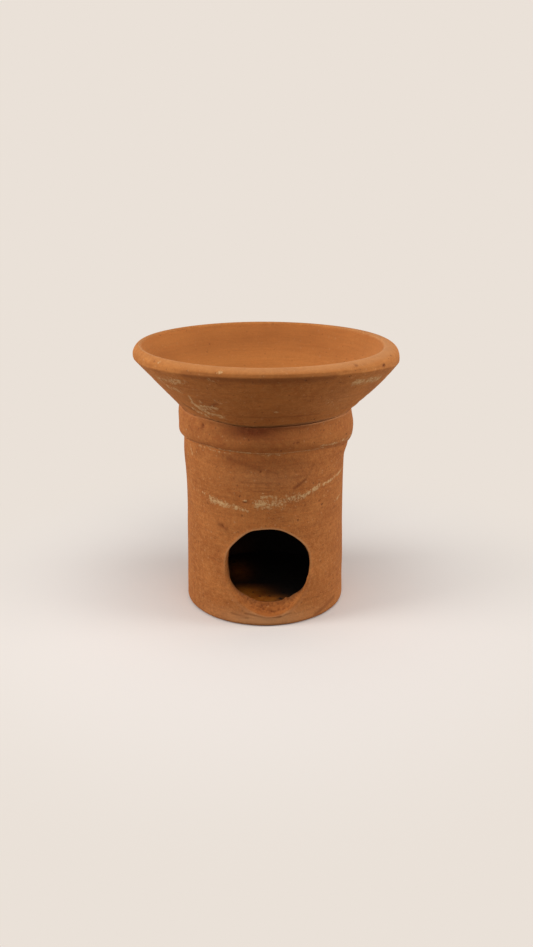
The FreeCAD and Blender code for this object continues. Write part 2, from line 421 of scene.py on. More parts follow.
WALL_CLOUDS = (  # where the whole face is a shade deeper, from handling and the fire, and painted shade under the collar at the front
    (-2, 71, 26, 10, 0.10), (-34, 72, 14, 20, 0.12), (0, 94.5, 34, 3.5, 0.10),
    (62, 60, 20, 30, 0.05), (40, 14, 16, 9, 0.10), (170, 60, 50, 30, 0.10),
)
WALL_RUBBED_AND_PAINTED_LIGHT = (  # and where it is paler: rubbed near the foot at the front, and painted light at 85 mm on the front, lightening the shade under the dish
    (-2, 4, 32, 4.5, 0.95), (0, 85, 26, 5.5, 0.22),
)
BORE_PAINTED_GLOW = ((-154.0, 12.0, 16.0, 7.0, 0.14),)  # painted light: a dim patch low at the back, where light through the window falls


def paint_wall(layer, face, bore=None, cut=None):
    """Lays values on the wall's outer face, its bore and the cut between them, nothing where none are given."""
    bore = np.zeros(len(in_angle)) if bore is None else bore
    cut = np.zeros((ring_count, ring_size)) if cut is None else cut
    paint(wall, layer, np.concatenate([face, bore, cut.reshape(-1)]))


paint_wall("lime", daubs(out_angle, out_height, FOOT_R, WALL_LIME))
# painted shade on the wiped sill, which faces up, broken by its roughness
sill_painted_shade = np.zeros((ring_count, ring_size))
sill_painted_shade[2:2 + CUT_ROWS] = np.clip(0.14 + 0.28 * rough, 0, 0.8) * spread(out_degrees, -92.0, 40.0)
wall_dark = daubs(out_angle, out_height, FOOT_R, WALL_DARK) + swellings(out_angle, out_height, WALL_CLOUDS)
paint_wall("dark", wall_dark, cut=sill_painted_shade)
# the cut's upper edge is rubbed pale and painted with a highlight, most at the top; the ridge under the sill is rubbed
# pale
turn, away = from_window(out_angle, out_height, FOOT_R)
degrees, gap = np.degrees(turn), away - outer_line(turn)
halo = spread(gap - edge_round(turn), 0.0, 0.6) * np.clip(np.sin(turn) + 0.4, 0, 1)
ridge_light = 0.5 * spread(gap, 2.4, 1.0) * spread(degrees, -88.0, 40.0)
halo_cut = np.zeros((ring_count, ring_size))
halo_cut[:3] = np.clip(np.sin(out_turn) + 0.4, 0, 1) * np.array([[0.9], [0.7], [0.3]])
paint_wall("rubbed_and_painted_light", halo + ridge_light + swellings(out_angle, out_height, WALL_RUBBED_AND_PAINTED_LIGHT), cut=halo_cut)
# the wiped sill is smoother, damp-looking and deeper in colour
on_sill = np.tile(spread(out_degrees, -90.0, 42.0), (ring_count, 1))
near_sill = spread(gap, 0.0, 2.0) * spread(degrees, -90.0, 36.0)
paint_wall("smoothed", 0.2 * near_sill, cut=0.55 * on_sill)
# soot and painted shade: the bore is blackened all over but for a patch of painted light, and the cut darkens towards
# the bore, less on the sill
cut_soot_and_painted_shade = np.linspace(-0.5, 0.75, ring_count)[:, None] * (1 - 0.6 * on_sill)
paint_wall("soot_and_painted_shade", np.zeros(first_in), 1 - swellings(in_angle, in_height, BORE_PAINTED_GLOW), cut_soot_and_painted_shade)


def linear(hex_colour):
    """A colour written as sRGB hex, as the linear red, green, blue and alpha that Blender works in."""
    parts = [int(hex_colour[i:i + 2], 16) / 255 for i in (1, 3, 5)]
    return [c / 12.92 if c <= 0.04045 else ((c + 0.055) / 1.055) ** 2.4 for c in parts] + [1.0]


def bare_tree(owner):
    """The emptied node tree of a material or world."""
    owner.use_nodes = True
    owner.node_tree.nodes.clear()
    return owner.node_tree


def add(tree, kind, given=()):
    """Adds a node with its settings and links, by name or by the input's number.

    What is given is a link where it is a socket or a node, whose first output in use is then meant. All else
    is a setting of the node itself or an input's value.
    """
    node = tree.nodes.new(kind)
    for name, value in dict(given).items():
        if isinstance(value, bpy.types.Node):
            value = next(socket for socket in value.outputs if socket.enabled)
        if isinstance(value, bpy.types.NodeSocket):
            tree.links.new(value, node.inputs[name])
        elif isinstance(name, str) and hasattr(node, name):
            setattr(node, name, value)
        else:
            node.inputs[name].default_value = value
    return node


def fired_clay(name, deep, middle, pale, lines=1.0, grit=1.0, smooth="#a65516"):
    """Unglazed red earthenware, thrown and fired once: matt, gritty, clouded by the fire.

    Its clay holds grit of up to 1 mm. The wheel leaves fine lines round it. Lime blooms on it in places.
    Lines and grit say how strongly the two show on this piece, smooth its colour where a wet hand went.
    """
    made = bpy.data.materials.new(name)
    tree = bare_tree(made)
    spot = add(tree, "ShaderNodeTexCoord").outputs["Object"]
    spot = add(tree, "ShaderNodeVectorMath", {"operation": "SCALE", "Scale": 1 / MM, 0: spot})
    layers = {}
    for layer in ("smoothed", "rubbed_and_painted_light", "dark", "lime", "soot_and_painted_shade"):
        layers[layer] = add(tree, "ShaderNodeAttribute", {"attribute_name": layer}).outputs["Fac"]
    coarse = add(tree, "ShaderNodeMath", {"operation": "MULTIPLY_ADD", 0: layers["smoothed"], 1: -0.6, 2: 1.0})

    # clouds of 16 mm and mottling of 2.6 mm, from the kiln's uneven heat
    clouds = add(tree, "ShaderNodeTexNoise", {"Scale": 1 / 16, "Detail": 3.0, "Vector": spot})
    mottle = add(tree, "ShaderNodeTexNoise", {"Scale": 1 / 2.6, "Detail": 4.0, "Roughness": 0.7, "Vector": spot})
    tone = add(tree, "ShaderNodeMapRange", {"From Min": 0.38, "From Max": 0.62, 0: clouds})
    clay = add(tree, "ShaderNodeMix", {"data_type": "RGBA", 0: tone, 6: linear(deep), 7: linear(middle)})
    tone = add(tree, "ShaderNodeMapRange", {"From Min": 0.42, "From Max": 0.82, 0: mottle})
    clay = add(tree, "ShaderNodeMix", {"data_type": "RGBA", 0: tone, 6: clay, 7: linear(pale)})

    # the wheel's lines, 1.3 mm apart and drawn out round the axis
    flat = add(tree, "ShaderNodeVectorMath", {"operation": "MULTIPLY", 0: spot, 1: (1 / 16, 1 / 16, 1 / 1.3)})
    turning = add(tree, "ShaderNodeTexNoise", {"Scale": 1.0, "Detail": 3.0, "Roughness": 0.6, "Vector": flat})
    # and grain of 0.9 mm, coarser than the clay's own so that it shows
    grain = add(tree, "ShaderNodeTexNoise", {"Scale": 1 / 0.9, "Detail": 3.0, "Roughness": 0.65, "Vector": spot})
    shades = []
    for pattern, depth in ((turning, 0.09 * lines), (grain, 0.15 * grit)):
        limits = {"From Min": 0.3, "From Max": 0.7, "To Min": -depth, "To Max": depth}
        shades.append(add(tree, "ShaderNodeMapRange", {**limits, 0: pattern}))
    streak = add(tree, "ShaderNodeMath", {"operation": "ADD", 0: shades[0], 1: shades[1]})
    streak = add(tree, "ShaderNodeMath", {"operation": "MULTIPLY_ADD", 0: streak, 1: coarse, 2: 1.0})
    clay = add(tree, "ShaderNodeVectorMath", {"operation": "SCALE", "Scale": streak, 0: clay})

    # places smoothed with a wet hand are deeper and more even in colour
    wiped = add(tree, "ShaderNodeMath", {"operation": "MULTIPLY", 0: layers["smoothed"], 1: 0.85})
    even = add(tree, "ShaderNodeVectorMath", {"operation": "SCALE", "Scale": streak, 0: linear(smooth)[:3]})
    clay = add(tree, "ShaderNodeMix", {"data_type": "RGBA", 0: wiped, 6: clay, 7: even})

    # grit: uneven grains of about 0.9 mm, a few of them pale and a few dark
    stray = add(tree, "ShaderNodeTexNoise", {"Scale": 1 / 1.4, "Detail": 1.0, "Vector": spot}).outputs["Color"]
    stray = add(tree, "ShaderNodeVectorMath", {"operation": "MULTIPLY_ADD", 0: stray, 1: (1.6, 1.6, 1.6), 2: spot})
    grains = add(tree, "ShaderNodeTexVoronoi", {"Scale": 1 / 1.8, "Vector": stray})
    kind = add(tree, "ShaderNodeSeparateColor", {0: grains.outputs["Color"]})
    limits = {"From Min": 0.36, "From Max": 0.16, "interpolation_type": "SMOOTHSTEP"}
    body = add(tree, "ShaderNodeMapRange", {**limits, 0: grains})
    for tint, strength, test, limit in (
        ("#d9a473", 0.34, "GREATER_THAN", 0.90), ("#5c3018", 0.42, "LESS_THAN", 0.06),
    ):
        shown = add(tree, "ShaderNodeMath", {"operation": test, 0: kind.outputs[0], 1: limit})
        for factor in (body, coarse, strength):
            shown = add(tree, "ShaderNodeMath", {"operation": "MULTIPLY", 0: shown, 1: factor})
        clay = add(tree, "ShaderNodeMix", {"data_type": "RGBA", 0: shown, 6: clay, 7: linear(tint)})

    # rubbed edges and painted highlights, a little paler
    rubbed_and_painted_light = add(tree, "ShaderNodeMath", {"operation": "MULTIPLY", 0: layers["rubbed_and_painted_light"], 1: 0.75})
    clay = add(tree, "ShaderNodeMix", {"data_type": "RGBA", 0: rubbed_and_painted_light, 6: clay, 7: linear("#d99c68")})

    # dark smears and scratches, and painted shade
    broken = add(tree, "ShaderNodeMapRange", {"From Min": 0.35, "From Max": 0.6, "To Min": 0.75, 0: mottle})
    dark = add(tree, "ShaderNodeMath", {"operation": "MULTIPLY", 0: layers["dark"], 1: broken})
    darker = {"data_type": "RGBA", "blend_type": "MULTIPLY", 7: linear("#957143")}
    clay = add(tree, "ShaderNodeMix", {**darker, 0: dark, 6: clay})

    # lime: a thin chalky bloom, broken into grains of 1.5 mm and patches of 5 mm
    chalk = add(tree, "ShaderNodeTexNoise", {"Scale": 1 / 1.5, "Detail": 4.0, "Roughness": 0.75, "Vector": spot})
    patchy = add(tree, "ShaderNodeTexNoise", {"Scale": 1 / 5, "Detail": 2.0, "Vector": spot})
    patchy = add(tree, "ShaderNodeMath", {"operation": "MULTIPLY_ADD", 0: patchy, 1: 0.45, 2: 0.27})
    ragged = add(tree, "ShaderNodeMath", {"operation": "MULTIPLY_ADD", 0: chalk, 1: 1.6, 2: patchy})
    need = add(tree, "ShaderNodeMath", {"operation": "MULTIPLY_ADD", 0: layers["lime"], 1: -0.62, 2: 1.71})
    over = add(tree, "ShaderNodeMath", {"operation": "SUBTRACT", 0: ragged, 1: need})
    bloom = add(tree, "ShaderNodeMapRange", {"From Min": -0.05, "From Max": 0.22, "To Max": 0.9, 0: over})
    clay = add(tree, "ShaderNodeMix", {"data_type": "RGBA", 0: bloom, 6: clay, 7: linear("#deb27c")})

    # soot and painted shade: inside the chamber the clay is blackened by the flame, and painted darker where no light
    # reaches
    clay = add(tree, "ShaderNodeMix", {"data_type": "RGBA", 0: layers["soot_and_painted_shade"], 6: clay, 7: linear("#17100b")})

    # pits of about 1 mm where grit fell out, of uneven size and shape, darkened with painted shade
    holes = add(tree, "ShaderNodeTexVoronoi", {"Scale": 1 / 4.5, "Vector": stray})
    which = add(tree, "ShaderNodeSeparateColor", {0: holes.outputs["Color"]})
    some = add(tree, "ShaderNodeMath", {"operation": "GREATER_THAN", 0: which.outputs[1], 1: 0.74})
    some = add(tree, "ShaderNodeMath", {"operation": "MULTIPLY", 0: some, 1: coarse})
    wide = add(tree, "ShaderNodeMapRange", {"To Min": 0.06, "To Max": 0.19, 0: which.outputs[2]})
    pit = add(tree, "ShaderNodeMapRange", {"From Max": 0.02, "From Min": wide, 0: holes})
    pit = add(tree, "ShaderNodeMath", {"operation": "MULTIPLY", 0: pit, 1: some})
    shade = add(tree, "ShaderNodeMath", {"operation": "MULTIPLY", 0: pit, 1: 0.75})
    clay = add(tree, "ShaderNodeMix", {"data_type": "RGBA", 0: shade, 6: clay, 7: linear("#5a2a12")})

    # relief in millimetres: grain and mottling, then the wheel's lines, pits and the lime's crust
    relief = add(tree, "ShaderNodeMath", {"operation": "MULTIPLY", 0: grain, 1: 0.22 * grit})
    relief = add(tree, "ShaderNodeMath", {"operation": "MULTIPLY_ADD", 0: mottle, 1: 0.18, 2: relief})
    relief = add(tree, "ShaderNodeMath", {"operation": "MULTIPLY", 0: relief, 1: coarse})
    for pattern, depth in ((turning, 0.20 * lines), (pit, -0.5), (bloom, 0.10)):
        relief = add(tree, "ShaderNodeMath", {"operation": "MULTIPLY_ADD", 0: pattern, 1: depth, 2: relief})
    bump = add(tree, "ShaderNodeBump", {"Strength": 1.0, "Distance": MM, "Height": relief})

    matt = add(tree, "ShaderNodeMapRange", {"To Min": 0.80, "To Max": 0.96, 0: mottle})
    look = {"Base Color": clay, "Roughness": matt, "Normal": bump, "IOR": 1.5, "Specular IOR Level": 0.3}
    surface = add(tree, "ShaderNodeBsdfPrincipled", look)
    add(tree, "ShaderNodeOutputMaterial", {"Surface": surface})
    return made


wall.data.materials.append(fired_clay("earthenware_wall_thrown", "#aa622c", "#b96f35", "#ca8346"))
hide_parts("stand_wall")
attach(wall, "stand")

# ---------------------------------------------------------------------------------------------------
# The floor: a slab of the same clay pressed into the foot of the wall and luted there with slip. It is
# patted flat, not turned, so it has no lines, and it has caught crumbs. Painted shade blackens it where no light falls.

FLOOR_GAP = 0.12  # the slip's seam between the slab and the wall
FLOOR_EDGE = 1.4  # softened edge of its top
FLOOR_FACE = FLOOR_TOP - 0.25  # its mean top, under the crumbs
FLOOR_UNDER = 0.15  # its underside, just clear of what the foot stands on
FLOOR_RINGS, FLOOR_COLUMNS = 44, 180

reach = np.concatenate([np.linspace(0.0, BORE_R - FLOOR_EDGE, FLOOR_RINGS), [BORE_R - 0.6, BORE_R - FLOOR_GAP]])
drop = np.concatenate([np.zeros(FLOOR_RINGS), [0.55, FLOOR_EDGE]])
FLOOR_CRUMBS = (  # (degrees, distance from the axis, half width, height) of crumbs on the slab
    (-8.5, 26.6, 0.8, 0.9), (3.5, 26.3, 0.9, 0.8), (-20, 22, 0.6, 0.5), (14, 30.5, 1.2, 1),
    (-33, 27, 0.7, 0.5), (24, 24, 0.8, 0.6), (-48, 31, 0.9, 0.6), (9, 33.5, 0.7, 0.6),
    (120, 20, 1, 0.8), (-140, 28, 0.9, 0.7),
)
around = columns_round(FLOOR_COLUMNS)
grid_angle, grid_reach = np.meshgrid(around, reach[1:], indexing="ij")
top = FLOOR_FACE - np.broadcast_to(drop[1:], grid_angle.shape)
top = top + lumps(grid_angle, grid_reach, 31, 0.07, 9.0) * (1 - (grid_reach / BORE_R) ** 6)
crumb_dark = np.zeros_like(top)
across, along = grid_reach * np.sin(grid_angle), -grid_reach * np.cos(grid_angle)
for at, out, half, tall in FLOOR_CRUMBS:
    gap = np.hypot(across - out * np.sin(np.radians(at)), along + out * np.cos(np.radians(at)))
    top = top + tall * spread(gap, 0.0, half)
    crumb_dark = np.maximum(crumb_dark, spread(gap, 0.0, half * 0.8))
ring_count = len(reach) - 1
upper = place(grid_angle, top, grid_reach, STAND_LEAN).reshape(-1, 3)
lower = place(around, np.full(FLOOR_COLUMNS, FLOOR_UNDER), reach[-1], STAND_LEAN)
middles = [[STAND_LEAN, 0, FLOOR_FACE], [STAND_LEAN, 0, FLOOR_UNDER]]
points = np.concatenate([upper, lower, middles])
first_low, centre_top = len(upper), len(upper) + FLOOR_COLUMNS
faces = []
for j in range(FLOOR_COLUMNS):
    after = (j + 1) % FLOOR_COLUMNS
    near, far = j * ring_count, after * ring_count
    faces.append((centre_top, near, far))
    for k in range(ring_count - 1):
        faces.append((near + k, near + k + 1, far + k + 1, far + k))
    faces.append((near + ring_count - 1, first_low + j, first_low + after, far + ring_count - 1))
    faces.append((first_low + j, centre_top + 1, first_low + after))
floor_slab = smooth_mesh("floor_pressed", points, faces)
# painted light and shade: the slab is black where no light falls, brown in a pool of light at its front by the window,
# darker to the right, with a dim patch at its back left
painted_window_light = 1.15 * spread(across, -13.5, 11.0) * np.clip((-along - 8.0) / 10.0, 0, 1)
painted_window_light = painted_window_light + 0.7 * spread(across, 1.0, 9.0) * spread(along, -29.0, 4.5)
painted_window_light = painted_window_light + 0.75 * spread(across, -15.5, 7.0) * spread(along, 10.0, 12.0)
soot_and_painted_shade = np.clip(1.0 - painted_window_light + crumb_dark, 0, 1).reshape(-1)
paint(floor_slab, "soot_and_painted_shade", np.concatenate([soot_and_painted_shade, np.ones(FLOOR_COLUMNS), [1.0, 1.0]]))
paint(floor_slab, "dark", np.concatenate([crumb_dark.reshape(-1), np.ones(FLOOR_COLUMNS), [0.0, 0.0]]))
for layer in ("lime", "rubbed_and_painted_light", "smoothed"):
    paint(floor_slab, layer, np.zeros(len(points)))
floor_slab.data.materials.append(fired_clay("earthenware_floor_pressed", "#c66818", "#d27820", "#de8c32", lines=0.0))
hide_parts("floor_disc")
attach(floor_slab, "stand")

# ---------------------------------------------------------------------------------------------------
# The collar: a coil of clay luted over the wall's mouth and turned on the wheel, so that it hides the
# wall's top and makes a funnel for the dish. Its lower edge is smeared on to the wall by hand.

COLLAR_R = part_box("collar_band")[1].x / MM
DISH_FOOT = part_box("dish")[0].z / MM
RIM_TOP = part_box("dish")[1].z / MM
RIM_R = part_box("dish")[1].x / MM
NECK_R = 46.0  # the dish's cone where it leaves the collar
FLARE = 0.894  # radius that the cone gains per millimetre of height
SEAT_GAP = 0.11  # the loose dish's clearance in its funnel, along a radius
COLLAR_LIP_W = 0.45  # the lip's width: it is pressed to a feather edge
SEAT_FLOOR = 0.1  # the ledge inside the collar lies this far above the wall's top


def cone_face(angle, height):
    """Radius of the dish's cone, with the places where the thrower's rib left it fuller."""
    radius = NECK_R + FLARE * (height - COLLAR_LIP)
    fuller = swellings(angle, height, ((88.0, 131.0, 42.0, 12.0, 2.1), (-92.0, 128.0, 40.0, 8.0, 0.2)))
    uneven = wobble(angle, height, 41, 0.15) + lumps(angle, height, 42, 0.05, 12.0)
    grooves = -0.34 * spread(height, 119.4 + 0.5 * np.sin(angle), 0.6) + 0.22 * spread(height, 117.9, 0.8)
    grooves = grooves - 0.18 * spread(height, 123.3, 0.6) - 0.12 * spread(height, 134.0, 1.2)
    free = np.clip((height - COLLAR_LIP - 1.0) / 4.0, 0, 1)  # true where it seats
    return radius + free * (fuller + uneven + grooves)


def arc_line(a, b, swell, steps):
    """Points after a up to b, on an arc that bulges to the right of the way by swell."""
    a, b = np.array(a, float), np.array(b, float)
    share = np.linspace(0, 1, steps + 1)[1:, None]
    way = b - a
    side = np.array([way[1], -way[0]]) / np.hypot(*way)
    return a + share * way + 4 * swell * share * (1 - share) * side


def ring_faces(columns, rows, closed):
    """Quads between columns of points; closed joins the outline's last point to its first."""
    faces = []
    for j in range(columns):
        near, far = j * rows, (j + 1) % columns * rows
        for k in range(rows if closed else rows - 1):
            after = (k + 1) % rows
            faces.append((near + k, far + k, far + after, near + after))
    return faces


LIP_SPOTS = (  # how much higher the lip stands than its mean
    (-88, 30, 2), (-46, 12, 1.3), (-34, 9, 0.5), (-12, 16, -0.7), (48, 20, 0.75),
    (160, 50, 0.5),
)
CREASE_SPOTS = (  # and how much higher its lower edge lies
    (-48, 18, 1.2), (-18, 14, 0.5), (20, 14, 0.6), (74, 26, -3), (-150, 40, 0.8),
)
COLLAR_PITS = (  # (degrees, height, half widths of both, depth)
    (-45.6, 111, 1.1, 1.1, -0.75), (-58, 107.6, 2.4, 1, -0.3), (17.4, 104.8, 1.1, 0.8, -0.45),
    (-38, 112, 1.1, 0.7, -0.3), (-72, 106, 1, 0.8, -0.3), (64, 108, 1, 0.8, -0.3),
    (132, 105, 1.4, 1, -0.45), (-120, 109, 1.2, 0.8, -0.4),
)
UNDER_ROWS, SIDE_ROWS, LIP_ROWS, FUNNEL_ROWS = 14, 14, 3, 6


def bowed(ends, pulls, steps):
    """Points after the first end up to the second, on a smooth line that leaves and meets them by the pulls."""
    share = np.linspace(0, 1, steps + 1)[1:, None]
    line = (1 - share) ** 3 * np.array(ends[0]) + 3 * share * (1 - share) ** 2 * np.array(pulls[0])
    return line + 3 * share**2 * (1 - share) * np.array(pulls[1]) + share**3 * np.array(ends[1])


def collar_outline(angle):
    """The closed outline at an angle, as (radius, height): up its outside, in over the lip and down the funnel."""
    degrees = np.degrees(angle)
    lip = COLLAR_LIP + ring_swellings(angle, LIP_SPOTS)
    crease = COLLAR_FOOT + 0.6 + ring_swellings(angle, CREASE_SPOTS)
    widest = WALL_TOP + 0.6 + 0.25 * (crease - COLLAR_FOOT) - 2.2 * spread(degrees, 88.0, 36.0)
    boxy = 1.6 * np.sin(angle) ** 2  # at the sides its underside is fuller
    smeared = min(1.0, spread(degrees, 34.0, 30.0) + 0.7 * spread(degrees, -26.0, 26.0))  # up against the cone
    run_out = float(wall_face(angle, crease))
    foot, edge = (run_out - 0.25, crease), (run_out + 0.22, crease + 0.1)
    out = COLLAR_R - 0.1 + 0.2 * np.cos(2 * angle + 0.7) + 0.1 * np.cos(5 * angle)
    out += ring_swellings(angle, ((88.0, 40.0, 0.45),))
    seat = float(cone_face(angle, lip)) + SEAT_GAP
    funnel_foot = (float(cone_face(angle, WALL_TOP)) + SEAT_GAP, WALL_TOP + SEAT_FLOOR)
    corner = (seat + COLLAR_LIP_W * (1 - 0.5 * smeared), lip - 0.55 + 0.2 * smeared)
    under_pulls = ((run_out + 0.75 + 0.5 * boxy, crease + 1.4), (out - 0.1, widest - 3.2 - boxy))
    lean_in = 0.9 - 0.8 * spread(degrees, 88.0, 40.0) - 1.9 * smeared
    side_pulls = ((out + 0.1, widest + 3.4), (corner[0] + lean_in, lip - 2.6))
    return np.concatenate([
        [foot, edge],
        bowed((edge, (out, widest)), under_pulls, UNDER_ROWS),
        bowed(((out, widest), corner), side_pulls, SIDE_ROWS),
        arc_line(corner, (seat, lip), 0.08, LIP_ROWS),
        arc_line((seat, lip), funnel_foot, 0.0, FUNNEL_ROWS),
        [(FOOT_R - WALL_TAPER - 0.6, WALL_TOP + SEAT_FLOOR), (FOOT_R - WALL_TAPER - 1.0, crease)],
    ])


around = columns_round(COLUMNS)
outlines = np.array([collar_outline(angle) for angle in around])
rows = outlines.shape[1]
all_angles = np.repeat(around[:, None], rows, axis=1)
skin_rows = UNDER_ROWS + SIDE_ROWS
skin = np.zeros(rows)
skin[2:2 + skin_rows] = np.minimum(1, np.minimum(np.arange(skin_rows), skin_rows - 1 - np.arange(skin_rows)) / 3)
height = outlines[..., 1]
uneven = lumps(all_angles, height, 51, 0.09, 9.0) + swellings(all_angles, height, COLLAR_PITS)
points = place(all_angles, height, outlines[..., 0] + skin * uneven, lean(height))
# the funnel keeps to the dish's own axis, and the skin leans from the wall's axis to it
funnel = slice(2 + skin_rows, 2 + skin_rows + LIP_ROWS + FUNNEL_ROWS)
points[:, funnel, 0] -= lean(points[:, funnel, 2])
collar = smooth_mesh("collar_luted", points.reshape(-1, 3), ring_faces(COLUMNS, rows, True))
COLLAR_LIME = (  # a pale scrape along its lower edge
    (-62, 98.6, -30, 99.4, 1.1, 0.86), (-30, 99.4, 6, 98.6, 0.7, 0.84),
    (6, 98.6, 40, 99.2, 0.6, 0.74), (36, 100.6, 75, 99, 1.3, 0.72),
    (-66, 105, -60, 107, 1.2, 0.6), (100, 99, 170, 100, 0.8, 0.75),
    (-170, 100, -90, 99.5, 0.8, 0.8),
)
COLLAR_DARK = (  # painted shade in a line under the dish, and darker pits
    (-50, 114, 24, 112.6, 1.2, 0.3),
    (-46, 111.6, -45.4, 110.4, 0.6, 1), (17.2, 104.9, 17.6, 104.7, 0.5, 1),
    (14.6, 105, 14.9, 104.9, 0.4, 0.8),
    (-60, 108.6, -56, 106.6, 0.45, 0.5), (-47, 109.4, -44.6, 108.4, 0.5, 0.5),
)
COLLAR_PAINTED_SHADE = (  # painted shade under the dish's cone, deepest a little left of the front
    (-12, 110.8, 18, 4, 0.95), (16, 112.4, 22, 2.2, 0.3), (-2, 106, 26, 5, 0.18),
)
paint(collar, "lime", daubs(all_angles, height, COLLAR_R, COLLAR_LIME).reshape(-1))
collar_dark = daubs(all_angles, height, COLLAR_R, COLLAR_DARK) + swellings(all_angles, height, COLLAR_PAINTED_SHADE)
paint(collar, "dark", collar_dark.reshape(-1))
# its lower edge was rubbed pale, now stronger, now weaker; the lip is painted light, to lighten the shade in the seam
# under the dish
edge_light = spread(np.arange(rows), 1.6, 1.3) * np.clip(0.5 + wobble(all_angles, 0.0, 53, 0.45), 0.12, 0.8)
lip_strength = 0.4 + 0.6 * spread(np.degrees(all_angles), 34.0, 30.0)
lip_light = lip_strength * spread(np.arange(rows), 2.5 + skin_rows, 1.7)
paint(collar, "rubbed_and_painted_light", (edge_light + lip_light).reshape(-1))
for layer in ("soot_and_painted_shade", "smoothed"):
    paint(collar, layer, np.zeros(height.size))
collar.data.materials.append(
    fired_clay("earthenware_collar_luted", "#aa622d", "#b66d34", "#c78144", lines=0.7, grit=0.8))
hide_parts("collar_band")
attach(collar, "stand")

# ---------------------------------------------------------------------------------------------------
# The dish: thrown as one flared bowl with a thick rounded rim, and turned on its outside with a rib. It
# isn't luted: its cone stands in the collar's funnel and lifts straight off.

RIM_HEIGHT = 5.4  # from the rim's lower edge to its crest
RIM_STEP = 0.35  # how far its lower edge stands out from the cone
CREST_IN = 5.3  # from the widest place in to the crest, on average
CREST_RIGHT = 2.0  # and how much more on the right, and less on the left
LIP_IN, LIP_DOWN = 1.7, 1.6  # from the crest to the end of the rounding inside
BOWL_FLOOR = 112.9
BOWL_FLOOR_R = 27.0  # where the bowl's curve has run out flat
RIM_DROP = 0.2  # the dish leans to the right by this much, from its middle to its rim
DISH_COLUMNS = 440
CONE_MIDDLE_R = 58.0  # the cone's radius half way up
CREST_FROM = 62.0  # no part of the rim is nearer to the axis
RIB_FREE = 12.0  # the bowl's middle, out to this radius, is nearly free of ribs

FOOT_EDGE_R = NECK_R + FLARE * (DISH_FOOT - COLLAR_LIP)  # the cone's radius at its foot
RIM_SPOTS = (  # the rim's own unevenness: pressed in here and there, never past its widest
    (88, 34, -1.15), (-92, 30, -0.15), (20, 18, -0.25), (150, 30, -0.4), (-140, 25, -0.35),
)
RIM_LIFTS = (  # and its lower edge lies higher at the front and lower on the right
    (4, 56, 2.1), (88, 28, -3.2), (180, 60, 0.5),
)
CONE_ROWS, BOWL_ROWS, BOWL_FLOOR_ROWS = 72, 50, 19


def dish_outline(angle):
    """The outline at an angle, as (radius, height): from the axis out under the foot, up and into the bowl."""
    degrees = np.degrees(angle)
    widest = RIM_R - 0.06 + ring_swellings(angle, RIM_SPOTS) - 0.12 * (1 - np.cos(4 * angle + 1.0))
    edge_z = RIM_TOP - RIM_HEIGHT + ring_swellings(angle, RIM_LIFTS)
    rim_foot = (widest, edge_z + 0.8)
    crest = (widest - CREST_IN - CREST_RIGHT * np.sin(angle), RIM_TOP - 0.05)
    lip = (crest[0] - LIP_IN, crest[1] - LIP_DOWN)
    heights_up = np.linspace(DISH_FOOT + 1.0, edge_z - 1.3, CONE_ROWS)
    cone = np.stack([cone_face(angle, heights_up), heights_up], axis=-1)
    step = RIM_STEP - 0.6 * spread(degrees, 88.0, 30.0)  # none on the right
    cone[:, 0] = np.minimum(cone[:, 0], widest - step + FLARE * (cone[:, 1] - cone[-1, 1]))
    # the rim is blunter on the right and slopes more at the front
    full = 0.56 + 0.18 * np.sin(angle) - 0.2 * spread(degrees, 12.0, 46.0)
    tall, deep = full * (crest[1] - rim_foot[1]), full * (widest - crest[0])
    under = DISH_FOOT + 0.02
    inside = np.linspace(BOWL_FLOOR_R, 0.0, BOWL_FLOOR_ROWS + 1)[1:]
    return np.concatenate([
        [(0.001, under), (FOOT_EDGE_R - 6.0, under), (FOOT_EDGE_R - 1.2, under), (FOOT_EDGE_R - 0.25, DISH_FOOT + 0.3)],
        cone,
        bowed((cone[-1], rim_foot), (cone[-1] + (0.8, 0.89), (widest, edge_z - 0.2)), 9),
        bowed((rim_foot, crest), ((widest, rim_foot[1] + tall), (crest[0] + deep, crest[1])), 16),
        arc_line(crest, lip, 0.45, 6),
        bowed((lip, (BOWL_FLOOR_R, BOWL_FLOOR)), ((lip[0] - 4.0, lip[1] - 13.0), (44.0, BOWL_FLOOR)), BOWL_ROWS),
        np.stack([np.maximum(inside, 0.001), np.full(BOWL_FLOOR_ROWS, BOWL_FLOOR)], axis=-1),
    ])


around = columns_round(DISH_COLUMNS)
outlines = np.array([dish_outline(angle) for angle in around])
rows = outlines.shape[1]
all_angles = np.repeat(around[:, None], rows, axis=1)
all_degrees = np.degrees(all_angles)
radius, height = outlines[..., 0], outlines[..., 1]
row_number = np.arange(rows)
bowl_from = rows - BOWL_ROWS - BOWL_FLOOR_ROWS
in_bowl = np.clip((row_number - bowl_from) / 8, 0, 1)[None, :] * np.ones_like(radius)
inner_skin = np.clip((row_number - bowl_from + 5) / 6, 0, 1)[None, :] * np.ones_like(radius)
